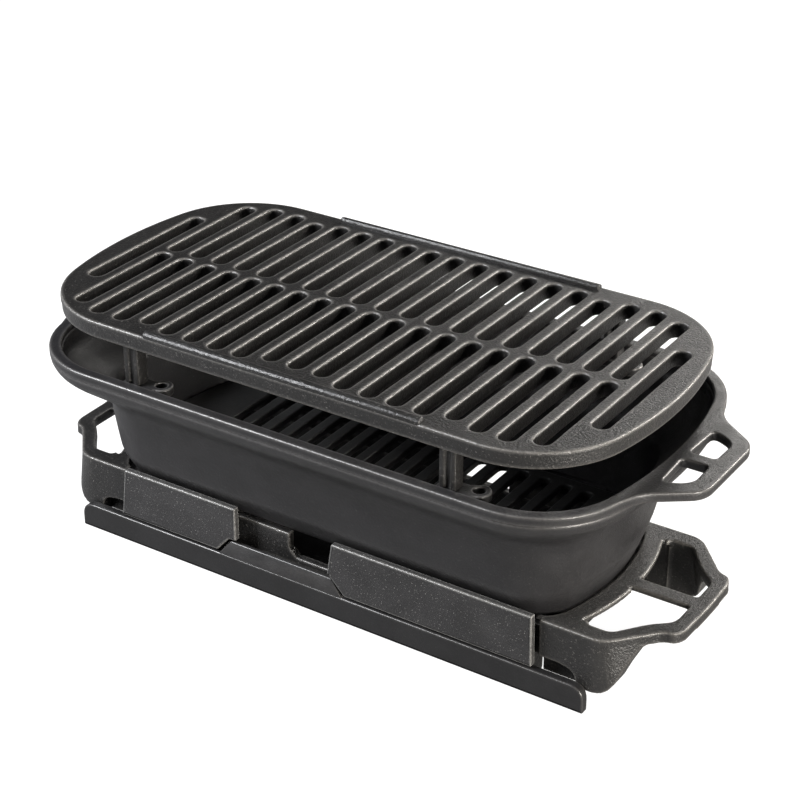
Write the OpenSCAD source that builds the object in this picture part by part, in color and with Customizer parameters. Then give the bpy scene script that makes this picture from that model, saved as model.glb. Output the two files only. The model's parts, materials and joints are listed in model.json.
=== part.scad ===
// Cast-iron hibachi grill: a base on four legs, a fire bowl, two grates, two draft doors and an ash tray.
// The origin is on the ground under the middle of the base. X runs along the grill, front is -Y, +Z is up.

/* [Cooking grate] */
// Distance from one slot of the cooking grate to the next
slot_pitch = 20; // [18:0.5:22]
// Width of a slot in the cooking grate
slot_w = 12; // [9:0.5:13]
// Height of the cooking surface above the ground
grate_top = 199; // [196:1:205]
// Thickness of the cooking grate
grate_t = 12.5; // [10:0.5:14]
// Half of the cooking grate's length
grate_half_l = 224; // [222:1:228]
// Half of the cooking grate's depth
grate_half_d = 117.5; // [116:0.5:119]

/* [Fire bowl] */
// Height of the rim's top face above the ground
rim_top = 160; // [158:1:162]
// Height of the rim's upright edge, which is also the bowl handle's thickness
rim_h = 7; // [6:0.5:9]
// Half of the rim's length, without the handles
rim_half_l = 232; // [230:1:234]
// Half of the rim's depth
rim_half_d = 126; // [124:1:127]
// Thickness of the bowl's wall
bowl_wall = 6; // [5:0.5:7]
// Distance from the middle of the grill to the outer edge of a bowl handle
bowl_reach = 262; // [258:1:266]
// How far the bowl sits behind the middle of the base and the cooking grate
bowl_back = 2; // [0:0.5:3]

/* [Base] */
// Height of the base's top face above the ground
deck_top = 55.5; // [55:0.5:56]
// Thickness of the base's top plate and handles
deck_t = 8; // [7:0.5:8]
// Half of the base's depth
base_half_d = 73; // [72.5:0.5:73.5]
// Distance from the middle of the base to the outer edge of a base handle
base_reach = 255; // [253:1:258]
// How far the middle of the base's handles and legs sits to the right of the middle of the bowl
base_right = 2; // [0:0.5:3]
// Half of the length of the front wall that carries the draft doors
wall_half_l = 172; // [170:1:174]
// Height of the top of the front wall
wall_top = 46; // [45:0.5:46]

/* [Draft doors and ash tray] */
// Thickness of a draft door
door_t = 5; // [4:0.5:5]
// Height of the top edge of the draft doors
door_top = 60; // [57:1:61]
// Height of the ash tray's front panel
panel_h = 20; // [18:0.5:20]
// Thickness of the ash tray's front panel
panel_t = 6.5; // [5:0.5:6.5]
// Half of the length of the ash tray's front panel
panel_half_l = 210; // [206:1:212]

/* [Hidden] */
$fn = 48;
e = 0.1; // gap that keeps stacked castings apart

// Levels
deck_bottom = deck_top - deck_t;
foot_z = 50; // underside of the bowl
belly_z = 72; // height where the bowl's wall turns steeper
flare_z = rim_top - 43; // height where the wall meets the flare under the rim
neck_z = rim_top - 18; // height where the flare turns up into the rim
coal_z = 64; // underside of the coal grate
coal_t = 6;
lug_z = rim_top - 10; // underside of the lugs that carry the cooking grate
lug_t = 6;
lug_reach = 24; // depth of a lug, which ends inside the rim
lug_y = 98; // inner edge of a lug, measured from the middle of the base
lug_left = 9; // how far a lug reaches to the left and right of its post
lug_right = 17;
eye_r = 8; // the eye at the lug's right end
eye_hole_r = 4;
eye_y = 3;

// Cooking grate: slots in columns either side of the middle one
columns = 10;
slot_in = 2.3; // inner end of a slot, measured from the centre line
slot_out = 105.5; // outer end of a full-length slot
end_slot = 61.5; // half of the length of the single slot at each end
post_x = 125;
post_y = 106.5;
post_w = 12;
post_d = 10;
post_groove = 5; // diameter of the grooves in a post
edge_bar_half_l = 108;
edge_bar_w = 6;
edge_bar_h = 3.8; // how far an edge bar stands above the cooking surface

// Coal grate
coal_pitch = 16.8;
coal_columns = 8;
coal_slot_w = 8.4;
coal_half_l = 185;
coal_half_d = 69.5;
coal_mid = 4; // half of the rib along the middle
coal_edge = 8; // metal left between a slot and the edge of the plate
coal_end = 62; // length at each end over which the slots get shorter
coal_fall = 22; // how much shorter they get

// Vertical openings
vent_left = 33; // the notch in the bowl's rear wall
vent_right = 73;
vent_top = 67;
window_half_l = 31; // half of the draft window in the front wall
window_sill = 28;
window_cut = 6; // cut lower corners of the draft window
wall_bottom = 23;
rear_wall_top = foot_z - 0.5;
shelf_bottom = 42;
shelf_w = 20; // how far the shelf under an end of the bowl reaches outwards
wall_front = base_half_d - 7; // outer face of the front wall
wall_t = 6;
leg_in = wall_front - wall_t; // inner face of the legs and long walls
bar_half = 6; // half of the bar in the middle of a base handle
frame_edge = [[243.7, 27, 4], [231, 38, 4], [214.5, 59.8, 4]]; // inner outline of a base handle's frame
rib_t = 4; // thickness of the bar and the inner edge of a base handle
leg_bottom = 12.5; // lower edge of a leg's outer side
leg_reach = 38; // a leg runs along the handle to this distance from the middle of the base
foot_left = 147; // a foot from side to side
foot_right = 162;
foot_in = 50; // a foot from front to back
foot_out = wall_front - 0.5;
recess_end = 198; // the recess in a leg beside the draft doors
recess_top = 27;

// Draft doors
left_door_out = -172; // X of the ends of each door
left_door_in = -68;
right_door_in = 14;
right_door_out = 171;
door_back = -base_half_d - 1.5;
door_front = door_back - door_t;
door_bottom = panel_h + 1.5;
tab_top = 31;
notch_top = tab_top + 3;
tab_left = -83;
tab_right = 23;
tab_lean = 9; // how far each end of the tab leans in over its height
hook_travel = 30; // room the hooks leave beside them for the doors to slide
hook_t = 3;
hook_lip = 2.5;
hook_bottom = 38;
panel_r = 12; // top corners of the ash tray's front panel
panel_z = 0.6; // underside of the ash tray
pan_half_l = 142;
pan_h = 15;
pan_wall = 3;
pan_rear = 55.5; // rear end of the pan

// A path through points; a point with a third value is rounded off over that length on both sides
function unit(v) = v / norm(v);
function flat(p) = [p[0], p[1]];
function corner(a, p, b, cut, n = 6) = let (u = unit(a - p), v = unit(b - p))
    [for (i = [0 : n]) p + u * cut * pow(1 - i / n, 2) + v * cut * pow(i / n, 2)];
function path(pts) = [
    for (i = [0 : len(pts) - 1])
        each len(pts[i]) == 2 ? [pts[i]]
            : corner(flat(pts[i - 1]), flat(pts[i]), flat(pts[i + 1]), pts[i][2])
];

// Outline of a plate with straight sides, bowed ends and round corners, as points. hl and hd are its
// half length and half depth, r the corner radius and bow the radius of the bowed ends.
function bowed_quarter(hl, hd, r, bow, n = 8) =
    let (cx = hl - bow + sqrt(pow(bow - r, 2) - pow(hd - r, 2)))
    let (turn = asin((hd - r) / (bow - r)))
    concat(
        [for (i = [0 : 3]) let (a = turn * i / 4) [hl - bow + bow * cos(a), bow * sin(a)]],
        [for (i = [0 : n]) let (a = turn + (90 - turn) * i / n) [cx + r * cos(a), hd - r + r * sin(a)]]
    );

function reversed(list) = [for (i = [len(list) - 1 : -1 : 0]) list[i]];

// The four quarters of a shape that is the same on both sides of both axes
function all_round(q) = concat(
    q,
    [for (p = reversed(q)) [-p[0], p[1]]],
    [for (p = q) if (p[1] > 0) [-p[0], -p[1]]],
    [for (p = reversed(q)) if (p[1] > 0) [p[0], -p[1]]]
);

module bowed(hl, hd, r, bow) {
    polygon(all_round(bowed_quarter(hl, hd, r, bow)));
}

// A bowed plate with its underside at height z
module slab(z, t, hl, hd, r, bow) {
    translate([0, 0, z]) linear_extrude(t) bowed(hl, hd, r, bow);
}

// A slot along Y from y0 to y1 with round ends
module slot(x, y0, y1, w) {
    translate([x - w / 2, y0 + w / 2]) square([w, y1 - y0 - w]);
    translate([x, y0 + w / 2]) circle(d = w);
    translate([x, y1 - w / 2]) circle(d = w);
}

// One window of a base handle, on the +X, +Y side; its inner edge is parallel to the bowl
module base_window() {
    difference() {
        polygon(path(concat([[180, bar_half], [244, bar_half]], frame_edge, [[180, 59.8]])));
        translate([40, 0]) circle(r = 163.5, $fn = 160);
    }
}

// One window of a bowl handle, on the +X, +Y side
module bowl_window() {
    polygon(path([
        [240, 5], [249.5, 5, 2], [250, 26, 3], [245, 32.5, 3], [233, 38, 3], [231.5, 5, 2.5], [240, 5]
    ]));
}

module both_ways() {
    children();
    mirror([1, 0]) children();
}

module four_ways() {
    both_ways() children();
    mirror([0, 1]) both_ways() children();
}

module four_corners() {
    for (sx = [0, 1], sy = [0, 1]) mirror([sx, 0, 0]) mirror([0, sy, 0]) children();
}

// ---- base ----

module deck_outline() {
    polygon(all_round(path([
        [base_reach, 0], [base_reach - 1, 33, 4], [base_reach - 5, 39.8, 3], [243, 41.5, 4],
        [215.5, base_half_d, 9], [wall_half_l, base_half_d]
    ])));
}

module deck() {
    difference() {
        translate([0, 0, deck_bottom]) linear_extrude(deck_t) difference() {
            translate([base_right, 0]) difference() {
                deck_outline();
                four_ways() base_window();
            }
            bowed(191, 74, 32, 172);
            square([2 * wall_half_l, 4 * base_half_d], center = true);
        }
        translate([base_right, 0, 0]) under_handle();
    }
}

// Hollow under the top plate that thins the bar and the inner edge of a handle
module under_handle() {
    translate([0, 0, deck_bottom - 1]) linear_extrude(1 + deck_t - rib_t)
        four_ways() polygon(path(concat([[170, -1], [244, -1]], frame_edge, [[170, 59.8]])));
}

// Shape of a leg seen from the front: its lower edge sweeps up and out under the handle
module leg_front() {
    polygon([
        [wall_half_l - 2, deck_bottom + e], [wall_half_l - 2, leg_bottom], [208, leg_bottom], [214, 14],
        [218, 17.5], [222.5, 23.5], [226, 31.5], [229, 38.5], [232, 43.8], [236, 46.8], [244, deck_bottom + e]
    ]);
}

// Shape of a leg seen from its end, where the outer side rounds off below
module leg_side() {
    polygon([
        [base_half_d, deck_bottom + e], [base_half_d, 16.5], [72.2, 14.2], [70.3, leg_bottom],
        [leg_reach, leg_bottom], [leg_reach, deck_bottom + e]
    ]);
}

// The foot under a leg, with cut lower edges
module foot() {
    cut = 2;
    intersection() {
        translate([0, foot_out + 1, 0]) rotate([90, 0, 0]) linear_extrude(foot_out - foot_in + 2) polygon([
            [foot_left + cut, 0], [foot_right - cut, 0], [foot_right, cut], [foot_right, 30], [foot_left, 30],
            [foot_left, cut]
        ]);
        rotate([90, 0, 90]) linear_extrude(base_reach) polygon([
            [foot_in + cut, 0], [foot_out - cut, 0], [foot_out, cut], [foot_out, 30], [foot_in, 30],
            [foot_in, cut]
        ]);
    }
}

// A leg is the part of the top plate's outline that lies inside both of those shapes, with its foot
module leg() {
    difference() {
        intersection() {
            linear_extrude(deck_bottom + e) difference() {
                deck_outline();
                bowed(204, leg_in, 20, 400);
                base_window();
            }
            translate([0, base_half_d + 1, 0]) rotate([90, 0, 0]) linear_extrude(base_half_d) leg_front();
            rotate([90, 0, 90]) linear_extrude(base_reach) leg_side();
        }
        // the draft doors' end of the leg is set back below the top plate
        translate([0, wall_front, -1]) cube([recess_end, 20, recess_top + 1]);
    }
    foot();
}

// Low wall between the legs
module long_wall(top) {
    translate([-wall_half_l - 3, -wall_front, wall_bottom])
        cube([2 * wall_half_l + 6, wall_t, top - wall_bottom]);
}

// Front wall, whose window lets air in under the coals
module front_wall() {
    difference() {
        long_wall(wall_top);
        translate([0, 1 - wall_front + wall_t, 0]) rotate([90, 0, 0]) linear_extrude(wall_t + 2)
            polygon([
                [-window_half_l, wall_top + 1], [-window_half_l, window_sill + window_cut],
                [window_cut - window_half_l, window_sill], [window_half_l - window_cut, window_sill],
                [window_half_l, window_sill + window_cut], [window_half_l, wall_top + 1]
            ]);
    }
}

// Wall across one end, under the bowl's foot
module end_wall() {
    translate([wall_half_l - 4, -leg_in - 1, wall_bottom])
        cube([wall_t, 2 * leg_in + 2, foot_z - e - wall_bottom]);
}

// Shelf at one end that carries the bowl's foot
module shelf() {
    translate([wall_half_l, -leg_in - 1, shelf_bottom])
        cube([shelf_w, 2 * leg_in + 2, foot_z - e - shelf_bottom]);
}

module base() {
    color("#3d3c3b") translate([0, -bowl_back, 0]) {
        deck();
        translate([base_right, 0, 0]) four_corners() leg();
        front_wall();
        mirror([0, 1, 0]) long_wall(rear_wall_top);
        for (s = [0, 1]) mirror([s, 0, 0]) {
            end_wall();
            shelf();
        }
    }
}

// ---- fire bowl ----

// One level of the bowl's outside, moved in by the thickness of the wall where that is wanted
module foot_level(z, in) { slab(z, e, 187 - in, 68 - in, 28 - in, 172 - in); }
module belly_level(z, in) { slab(z, e, 194.5 - in, 82 - in, 39 - in, 190 - in); }
module wall_level(z, in) { slab(z, e, rim_half_l - 31 - in, rim_half_d - 36 - in, 56 - in, 322 - in); }
module neck_level(z, in) { rim_level(z, in + 5); }
module rim_level(z, in) { slab(z, e, rim_half_l - in, rim_half_d - in, 67 - in, 330 - in); }

module bowl_shell() {
    difference() {
        union() {
            hull() {
                foot_level(foot_z, 0);
                belly_level(belly_z, 0);
            }
            hull() {
                belly_level(belly_z, 0);
                wall_level(flare_z, 0);
            }
            hull() {
                wall_level(flare_z, 0);
                neck_level(neck_z, 0);
            }
            hull() {
                neck_level(neck_z, 0);
                rim_level(rim_top - rim_h, 0);
            }
            bowl_rim();
        }
        hull() {
            slab(coal_z - e, e, coal_half_l + 2, coal_half_d + 1.5, 24, 166);
            wall_level(flare_z + 4, bowl_wall);
        }
        hull() {
            wall_level(flare_z + 4, bowl_wall);
            neck_level(neck_z + 4, 4);
        }
        hull() {
            neck_level(neck_z + 4, 4);
            rim_level(rim_top + e, 8.6);
        }
        // open bottom, which leaves a ledge for the coal grate
        slab(foot_z - 1, coal_z - foot_z + 2, 173, 56, 20, 160);
        rear_vent();
    }
}

module bowl_rim() {
    translate([0, 0, rim_top - rim_h]) linear_extrude(rim_h) difference() {
        union() {
            bowed(rim_half_l, rim_half_d, 67, 330);
            polygon(all_round(path([
                [bowl_reach, 0], [bowl_reach, 34.5, 10], [230.5, 57.5, 9], [224.5, 74], [200, 74]
            ])));
        }
        four_ways() bowl_window();
    }
}

// Notch low in the rear wall
module rear_vent() {
    translate([vent_left, 50, foot_z - 1]) cube([vent_right - vent_left, 50, vent_top - foot_z + 1]);
}

// Lug on the inside of the long walls: a flat seat for a post of the cooking grate and an eye beside it
module lug(x, side) {
    translate([x, side * lug_y - bowl_back, lug_z]) difference() {
        union() {
            translate([-lug_left, side > 0 ? 0 : -lug_reach, 0]) cube([lug_left + lug_right, lug_reach, lug_t]);
            translate([lug_right, side * eye_y, 0]) cylinder(r = eye_r, h = lug_t);
        }
        translate([lug_right, side * eye_y, -1]) cylinder(r = eye_hole_r, h = lug_t + 2);
    }
}

module fire_bowl() {
    color("#353436") {
        bowl_shell();
        for (x = [-post_x, post_x], side = [-1, 1]) lug(x, side);
    }
}

// ---- coal grate ----

// Outer end of the slots at x, which get shorter towards the round corners
function coal_slot_end(x) =
    coal_half_d - coal_edge - coal_fall * pow(max(0, (abs(x) - coal_half_l + coal_end) / coal_end), 2);

module coal_grate() {
    color("#2b2b2c") translate([0, 0, coal_z + e]) linear_extrude(coal_t) difference() {
        bowed(coal_half_l, coal_half_d, 26, 168);
        for (i = [-coal_columns : coal_columns]) {
            x = i * coal_pitch;
            slot(x, coal_mid, coal_slot_end(x), coal_slot_w);
            slot(x, -coal_slot_end(x), -coal_mid, coal_slot_w);
        }
    }
}

// ---- cooking grate ----

// Outer end of the slots in one column on one side; the columns over the posts and the plain pad at the
// front middle are shorter
function slot_end(i, front) =
    abs(i) == columns - 1 ? slot_out - 7.5 :
    abs(i) == 6 ? slot_out - 5 :
    front && abs(i) <= 1 ? slot_out - 6.5 :
    slot_out;

module grate_plate() {
    translate([0, 0, grate_top - grate_t]) linear_extrude(grate_t) difference() {
        bowed(grate_half_l, grate_half_d, 72, 290);
        for (i = [-columns + 1 : columns - 1]) {
            slot(i * slot_pitch, slot_in, slot_end(i, false), slot_w);
            slot(i * slot_pitch, -slot_end(i, true), -slot_in, slot_w);
        }
        for (s = [-1, 1]) slot(s * columns * slot_pitch, -end_slot, end_slot, slot_w);
    }
}

// Low bar along the front and rear edges that keeps food on the grate
module edge_bar() {
    translate([-edge_bar_half_l, grate_half_d - edge_bar_w, grate_top - 1])
        cube([2 * edge_bar_half_l, edge_bar_w, edge_bar_h + 1]);
}

// Post with a groove down its outer and inner faces
module post() {
    h = grate_top - grate_t + 1 - lug_z - lug_t - e;
    translate([post_x, post_y, lug_z + lug_t + e]) difference() {
        translate([-post_w / 2, -post_d / 2, 0]) cube([post_w, post_d, h]);
        for (s = [-1, 1]) translate([0, s * (post_d / 2 + 1), -1]) cylinder(d = post_groove, h = h - 1);
    }
}

module cooking_grate() {
    color("#444341") translate([0, -bowl_back, 0]) {
        grate_plate();
        for (s = [0, 1]) mirror([0, s, 0]) edge_bar();
        four_corners() post();
    }
}

// ---- draft doors ----

// A hook over the front wall from x0 to x1, fixed to the back of a door
module hook(x0, x1) {
    lip = wall_t + 1 - wall_front;
    top = wall_top + 0.5;
    translate([x0, door_back - 1, top]) cube([x1 - x0, lip + hook_lip - door_back + 1, hook_t]);
    translate([x0, lip, hook_bottom]) cube([x1 - x0, hook_lip, top + hook_t - hook_bottom]);
}

module door_plate(points) {
    translate([0, door_back, 0]) rotate([90, 0, 0]) linear_extrude(door_t) polygon(points);
}

module draft_door_left() {
    color("#484746") translate([0, -bowl_back, 0]) {
        door_plate([
            [left_door_out, door_bottom], [tab_left - 2, door_bottom], [tab_left + tab_lean, notch_top],
            [left_door_in, notch_top], [left_door_in, door_top], [left_door_out + 5, door_top]
        ]);
        hook(hook_travel - wall_half_l + 6, left_door_in - 10);
    }
}

module draft_door_right() {
    color("#484746") translate([0, -bowl_back, 0]) {
        door_plate([
            [right_door_out, door_bottom], [tab_right + 1, door_bottom], [tab_right - tab_lean - 2, notch_top],
            [right_door_in - 4, notch_top], [right_door_in, door_top], [right_door_out - 1, door_top]
        ]);
        hook(right_door_in + 10, wall_half_l - hook_travel - 6);
    }
}

// ---- ash tray ----

// Front panel with round top corners
module tray_panel() {
    h = panel_h - panel_z;
    translate([0, -base_half_d - 1, panel_z]) rotate([90, 0, 0]) linear_extrude(panel_t) {
        translate([-panel_half_l, 0]) square([2 * panel_half_l, h - panel_r]);
        translate([panel_r - panel_half_l, 0]) square([2 * (panel_half_l - panel_r), h]);
        for (s = [-1, 1]) intersection() {
            translate([s * (panel_half_l - panel_r), h - panel_r]) circle(r = panel_r);
            translate([-panel_half_l, 0]) square([2 * panel_half_l, h]);
        }
    }
}

// Pull tab that stands on the panel between the two doors, thinner towards its top
module pull_tab() {
    back = -base_half_d - 1;
    intersection() {
        translate([tab_left - 5, 0, 0]) rotate([90, 0, 90]) linear_extrude(tab_right - tab_left + 10)
            polygon([
                [back, panel_h - 2], [back, tab_top], [back - 3.5, tab_top], [back - panel_t, panel_h + 1],
                [back - panel_t, panel_h - 2]
            ]);
        translate([0, back + 1, 0]) rotate([90, 0, 0]) linear_extrude(panel_t + 2)
            polygon([
                [tab_left, panel_h - 2], [tab_left, panel_h], [tab_left + tab_lean, tab_top],
                [tab_right - tab_lean - 2, tab_top], [tab_right, panel_h], [tab_right, panel_h - 2]
            ]);
    }
}

module tray_pan() {
    inside = pan_half_l - pan_wall;
    translate([0, 0, panel_z]) difference() {
        translate([-pan_half_l, -base_half_d - 1.5, 0])
            cube([2 * pan_half_l, base_half_d + 1.5 + pan_rear, pan_h]);
        translate([-inside, -base_half_d, pan_wall]) cube([2 * inside, base_half_d + pan_rear - pan_wall, pan_h]);
    }
}

module ash_tray() {
    color("#2f2e30") translate([0, -bowl_back, 0]) {
        tray_panel();
        pull_tab();
        tray_pan();
    }
}

base();
fire_bowl();
coal_grate();
cooking_grate();
draft_door_left();
draft_door_right();
ash_tray();
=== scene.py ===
"""Cast-iron hibachi grill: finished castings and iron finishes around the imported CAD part.

Sizes are in millimetres until make() turns them into the frame's metres; stage, lights and camera are in
metres from the start.
"""

import json
import math

import bpy
import numpy as np
from mathutils import Matrix, Vector
from mathutils.geometry import tessellate_polygon


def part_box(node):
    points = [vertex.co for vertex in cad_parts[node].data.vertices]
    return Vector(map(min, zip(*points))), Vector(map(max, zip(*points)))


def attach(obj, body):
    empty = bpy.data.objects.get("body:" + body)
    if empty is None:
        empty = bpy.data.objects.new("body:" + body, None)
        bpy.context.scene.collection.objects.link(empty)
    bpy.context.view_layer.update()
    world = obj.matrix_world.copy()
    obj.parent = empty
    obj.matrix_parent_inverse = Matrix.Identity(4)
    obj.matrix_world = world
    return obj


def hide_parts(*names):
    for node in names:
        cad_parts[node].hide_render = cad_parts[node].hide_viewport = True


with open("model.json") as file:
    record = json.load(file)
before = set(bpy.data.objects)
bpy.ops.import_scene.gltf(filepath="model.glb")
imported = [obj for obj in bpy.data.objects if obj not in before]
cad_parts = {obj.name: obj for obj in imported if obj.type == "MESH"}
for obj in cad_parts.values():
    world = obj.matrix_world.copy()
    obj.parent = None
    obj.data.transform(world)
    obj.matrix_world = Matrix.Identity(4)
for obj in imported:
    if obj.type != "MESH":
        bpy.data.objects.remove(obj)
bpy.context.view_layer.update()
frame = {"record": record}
MM = 0.001
QUARTER_TURN = math.pi / 2


# ---- outlines ----


def box(node):
    """Lowest and highest corner of a CAD node."""
    lo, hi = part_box(node)
    return np.array(lo) / MM, np.array(hi) / MM


def area(loop):
    x, y = loop[:, 0], loop[:, 1]
    return 0.5 * float(np.sum(x * np.roll(y, -1) - y * np.roll(x, -1)))


def clockwise(loop):
    loop = np.array(loop, float)
    return loop[::-1] if area(loop) > 0 else loop


def counter_clockwise(loop):
    loop = np.array(loop, float)
    return loop[::-1] if area(loop) < 0 else loop


def arc(x, y, r, start, end, n):
    """Points on an arc round (x, y), with n steps from angle start to angle end."""
    return [(x + r * math.cos(a), y + r * math.sin(a)) for a in np.linspace(start, end, n + 1)]


def all_round(quarter, y0=0.0):
    """A shape that is the same on both sides of both axes, from its +X +Y quarter."""
    q = np.array(quarter, float)
    rest = q[q[:, 1] > 1e-9]
    full = np.vstack([q, q[::-1] * [-1, 1], rest * [-1, -1], rest[::-1] * [1, -1]])
    return full + [0.0, y0]


def bowed_quarter(hl, hd, r, bow, n_end=8, n_corner=16):
    """One quarter of a plate with straight sides, bowed ends and round corners.

    hl and hd are half its length and depth, r the corner radius and bow the radius of the ends.
    """
    cx = hl - bow + math.sqrt((bow - r) ** 2 - (hd - r) ** 2)
    turn = math.asin((hd - r) / (bow - r))
    end = []
    for i in range(n_end):
        a = turn * i / n_end
        end.append((hl - bow + bow * math.cos(a), bow * math.sin(a)))
    return end + arc(cx, hd - r, r, turn, QUARTER_TURN, n_corner)


def bowed(hl, hd, r, bow, y0=0.0, **steps):
    return all_round(bowed_quarter(hl, hd, r, bow, **steps), y0)


def path(points, n=8):
    """Points joined by straight lines; a third value rounds that point off over that length."""
    out = []
    count = len(points)
    for i, p in enumerate(points):
        here = np.array(p[:2], float)
        if len(p) == 2:
            out.append(here)
            continue
        a = np.array(points[i - 1][:2], float) - here
        b = np.array(points[(i + 1) % count][:2], float) - here
        a = a / np.linalg.norm(a)
        b = b / np.linalg.norm(b)
        for s in np.linspace(0, 1, n + 1):
            out.append(here + a * p[2] * (1 - s) ** 2 + b * p[2] * s**2)
    return np.array(out)


def rectangle(x0, x1, y0, y1):
    return np.array([(x0, y0), (x1, y0), (x1, y1), (x0, y1)])


def slot_loop(x, y0, y1, w):
    """A slot along Y with round ends, clockwise, as a hole."""
    r = w / 2
    top = arc(x, y1 - r, r, 0, math.pi, 8)
    bottom = arc(x, y0 + r, r, math.pi, 2 * math.pi, 8)
    return np.array(top + bottom)[::-1]


def mirrored_holes(loop):
    """A hole on the +X, +Y side and its three mirror images, clockwise."""
    loop = clockwise(loop)
    out = []
    for sx in (1, -1):
        for sy in (1, -1):
            copy = loop * [sx, sy]
            out.append(copy if sx * sy > 0 else copy[::-1])
    return out


def moved_in(loop, d):
    """A closed loop moved to its left, which is into the material, by d."""
    edge = np.roll(loop, -1, 0) - loop
    edge /= np.linalg.norm(edge, axis=1)[:, None]
    left = np.stack([-edge[:, 1], edge[:, 0]], 1)
    before = np.roll(left, 1, 0)
    k = np.clip(1 + (left * before).sum(1), 0.25, None)
    return loop + d * (left + before) / k[:, None]


# ---- meshes ----


def make(name, verts, faces):
    """A mesh object from points in millimetres."""
    mesh = bpy.data.meshes.new(name)
    mesh.from_pydata([tuple(float(c) * MM for c in v) for v in verts], [], [tuple(f) for f in faces])
    mesh.validate()
    obj = bpy.data.objects.new(name, mesh)
    bpy.context.scene.collection.objects.link(obj)
    return obj


def band(a, b, n):
    """Faces between two closed rows of n points each, whose first points are numbers a and b."""
    return [(a + i, b + i, b + (i + 1) % n, a + (i + 1) % n) for i in range(n)]


# faces across each rounded edge of a plate
EDGE_STEPS = 3


def edge_profile(z0, z1, top, bottom, draft, shelf):
    """How far in, and how high, each row of points round a plate lies, from its top face to its bottom."""
    angles = np.linspace(0, QUARTER_TURN, EDGE_STEPS + 1)
    profile = [(top + shelf, z1)]
    profile += [(top * (1 - math.sin(a)), z1 - top * (1 - math.cos(a))) for a in angles]
    profile += [(draft * shelf / (z1 - z0), z1 - top - shelf), (draft, z0 + bottom + shelf)]
    profile += [(draft + bottom * (1 - math.cos(a)), z0 + bottom * (1 - math.sin(a))) for a in angles]
    profile += [(draft + bottom + shelf, z0)]
    return profile


def flat_face(verts, starts, loops, up):
    """Triangles that close a plate between one row of each loop; starts are the rows' first points."""
    index = [start + i for start, loop in zip(starts, loops) for i in range(len(loop))]
    outlines = []
    for start, loop in zip(starts, loops):
        outlines.append([Vector((verts[start + i][0], verts[start + i][1], 0)) for i in range(len(loop))])
    faces = []
    for tri in tessellate_polygon(outlines):
        a, b, c = (index[t] for t in tri)
        (ax, ay, _), (bx, by, _), (cx, cy, _) = verts[a], verts[b], verts[c]
        ccw = (bx - ax) * (cy - ay) - (by - ay) * (cx - ax) > 0
        faces.append((a, b, c) if ccw == up else (a, c, b))
    return faces


def plate(name, outer, holes, z0, z1, top=1.2, bottom=1.2, draft=0.0, shelf=1.4):
    """A flat casting from height z0 to z1 with rounded edges.

    top and bottom are the radii of the edges. draft narrows the casting and widens its holes towards
    the bottom. shelf is the width of the row of faces beside each rounded edge.
    """
    loops = [counter_clockwise(outer)] + [clockwise(h) for h in holes]
    profile = edge_profile(z0, z1, top, bottom, draft, shelf)
    verts = []
    rows = []
    for inset, z in profile:
        starts = []
        for loop in loops:
            starts.append(len(verts))
            verts += [(x, y, z) for x, y in moved_in(loop, inset)]
        rows.append(starts)
    faces = []
    for upper, lower in zip(rows, rows[1:]):
        for a, b, loop in zip(upper, lower, loops):
            faces += band(a, b, len(loop))
    faces += flat_face(verts, rows[0], loops, True)
    faces += flat_face(verts, rows[-1], loops, False)
    return make(name, verts, faces)


def prism(name, loop, z0, z1):
    """A plain extruded block, used to build up a casting before its edges are rounded."""
    loop = counter_clockwise(loop)
    n = len(loop)
    verts = [(x, y, z) for z in (z1, z0) for x, y in loop]
    faces = band(0, n, n)
    faces += [tuple(range(n)), tuple(range(2 * n - 1, n - 1, -1))]
    return make(name, verts, faces)


def capped(name, rings, flip=False):
    """A solid through rings of points, with a face at both ends; flip turns its faces round."""
    n = len(rings[0])
    last = (len(rings) - 1) * n
    faces = [tuple(range(n))]
    for start in range(0, last, n):
        faces += band(start, start + n, n)
    faces.append(tuple(range(last + n - 1, last - 1, -1)))
    if flip:
        faces = [f[:1] + f[:0:-1] for f in faces]
    return make(name, [p for ring in rings for p in ring], faces)


def loft(name, rings):
    """A closed tube through rings of points, whose last ring joins the first."""
    n, count = len(rings[0]), len(rings)
    faces = []
    for k in range(count):
        faces += band(k * n, ((k + 1) % count) * n, n)
    return make(name, [p for ring in rings for p in ring], faces)


# how far a cutting block reaches past the face it starts from
CLEAR = 5


def stand_up(obj, y):
    """Turns a casting drawn flat in X and Z so that it stands with its top face forward, at depth y."""
    obj.data.transform(Matrix(((1, 0, 0, 0), (0, 0, -1, y * MM), (0, 1, 0, 0), (0, 0, 0, 1))))
    obj.data.update()
    return obj


def lay_along_x(obj):
    """Turns a block drawn flat in Y and Z so that its height runs along X."""
    obj.data.transform(Matrix(((0, 0, 1, 0), (1, 0, 0, 0), (0, 1, 0, 0), (0, 0, 0, 1))))
    return obj


def shifted(obj, x, y):
    obj.data.transform(Matrix.Translation((x * MM, y * MM, 0)))
    return obj


def applied(obj):
    """Replaces an object's mesh by the result of its modifiers."""
    depsgraph = bpy.context.evaluated_depsgraph_get()
    mesh = bpy.data.meshes.new_from_object(obj.evaluated_get(depsgraph))
    obj.modifiers.clear()
    old = obj.data
    obj.data = mesh
    bpy.data.meshes.remove(old)
    return obj


def boolean(obj, tool, operation):
    m = obj.modifiers.new("b", "BOOLEAN")
    m.operation = operation
    m.solver = "EXACT"
    m.object = tool
    applied(obj)
    bpy.data.objects.remove(tool)
    return obj


def cut(obj, tool):
    return boolean(obj, tool, "DIFFERENCE")


def joined(name, parts):
    """One object from the meshes of several."""
    verts = []
    faces = []
    for p in parts:
        start = len(verts)
        verts += [tuple(v.co / MM) for v in p.data.vertices]
        faces += [tuple(start + i for i in f.vertices) for f in p.data.polygons]
        bpy.data.objects.remove(p)
    return make(name, verts, faces)


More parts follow.
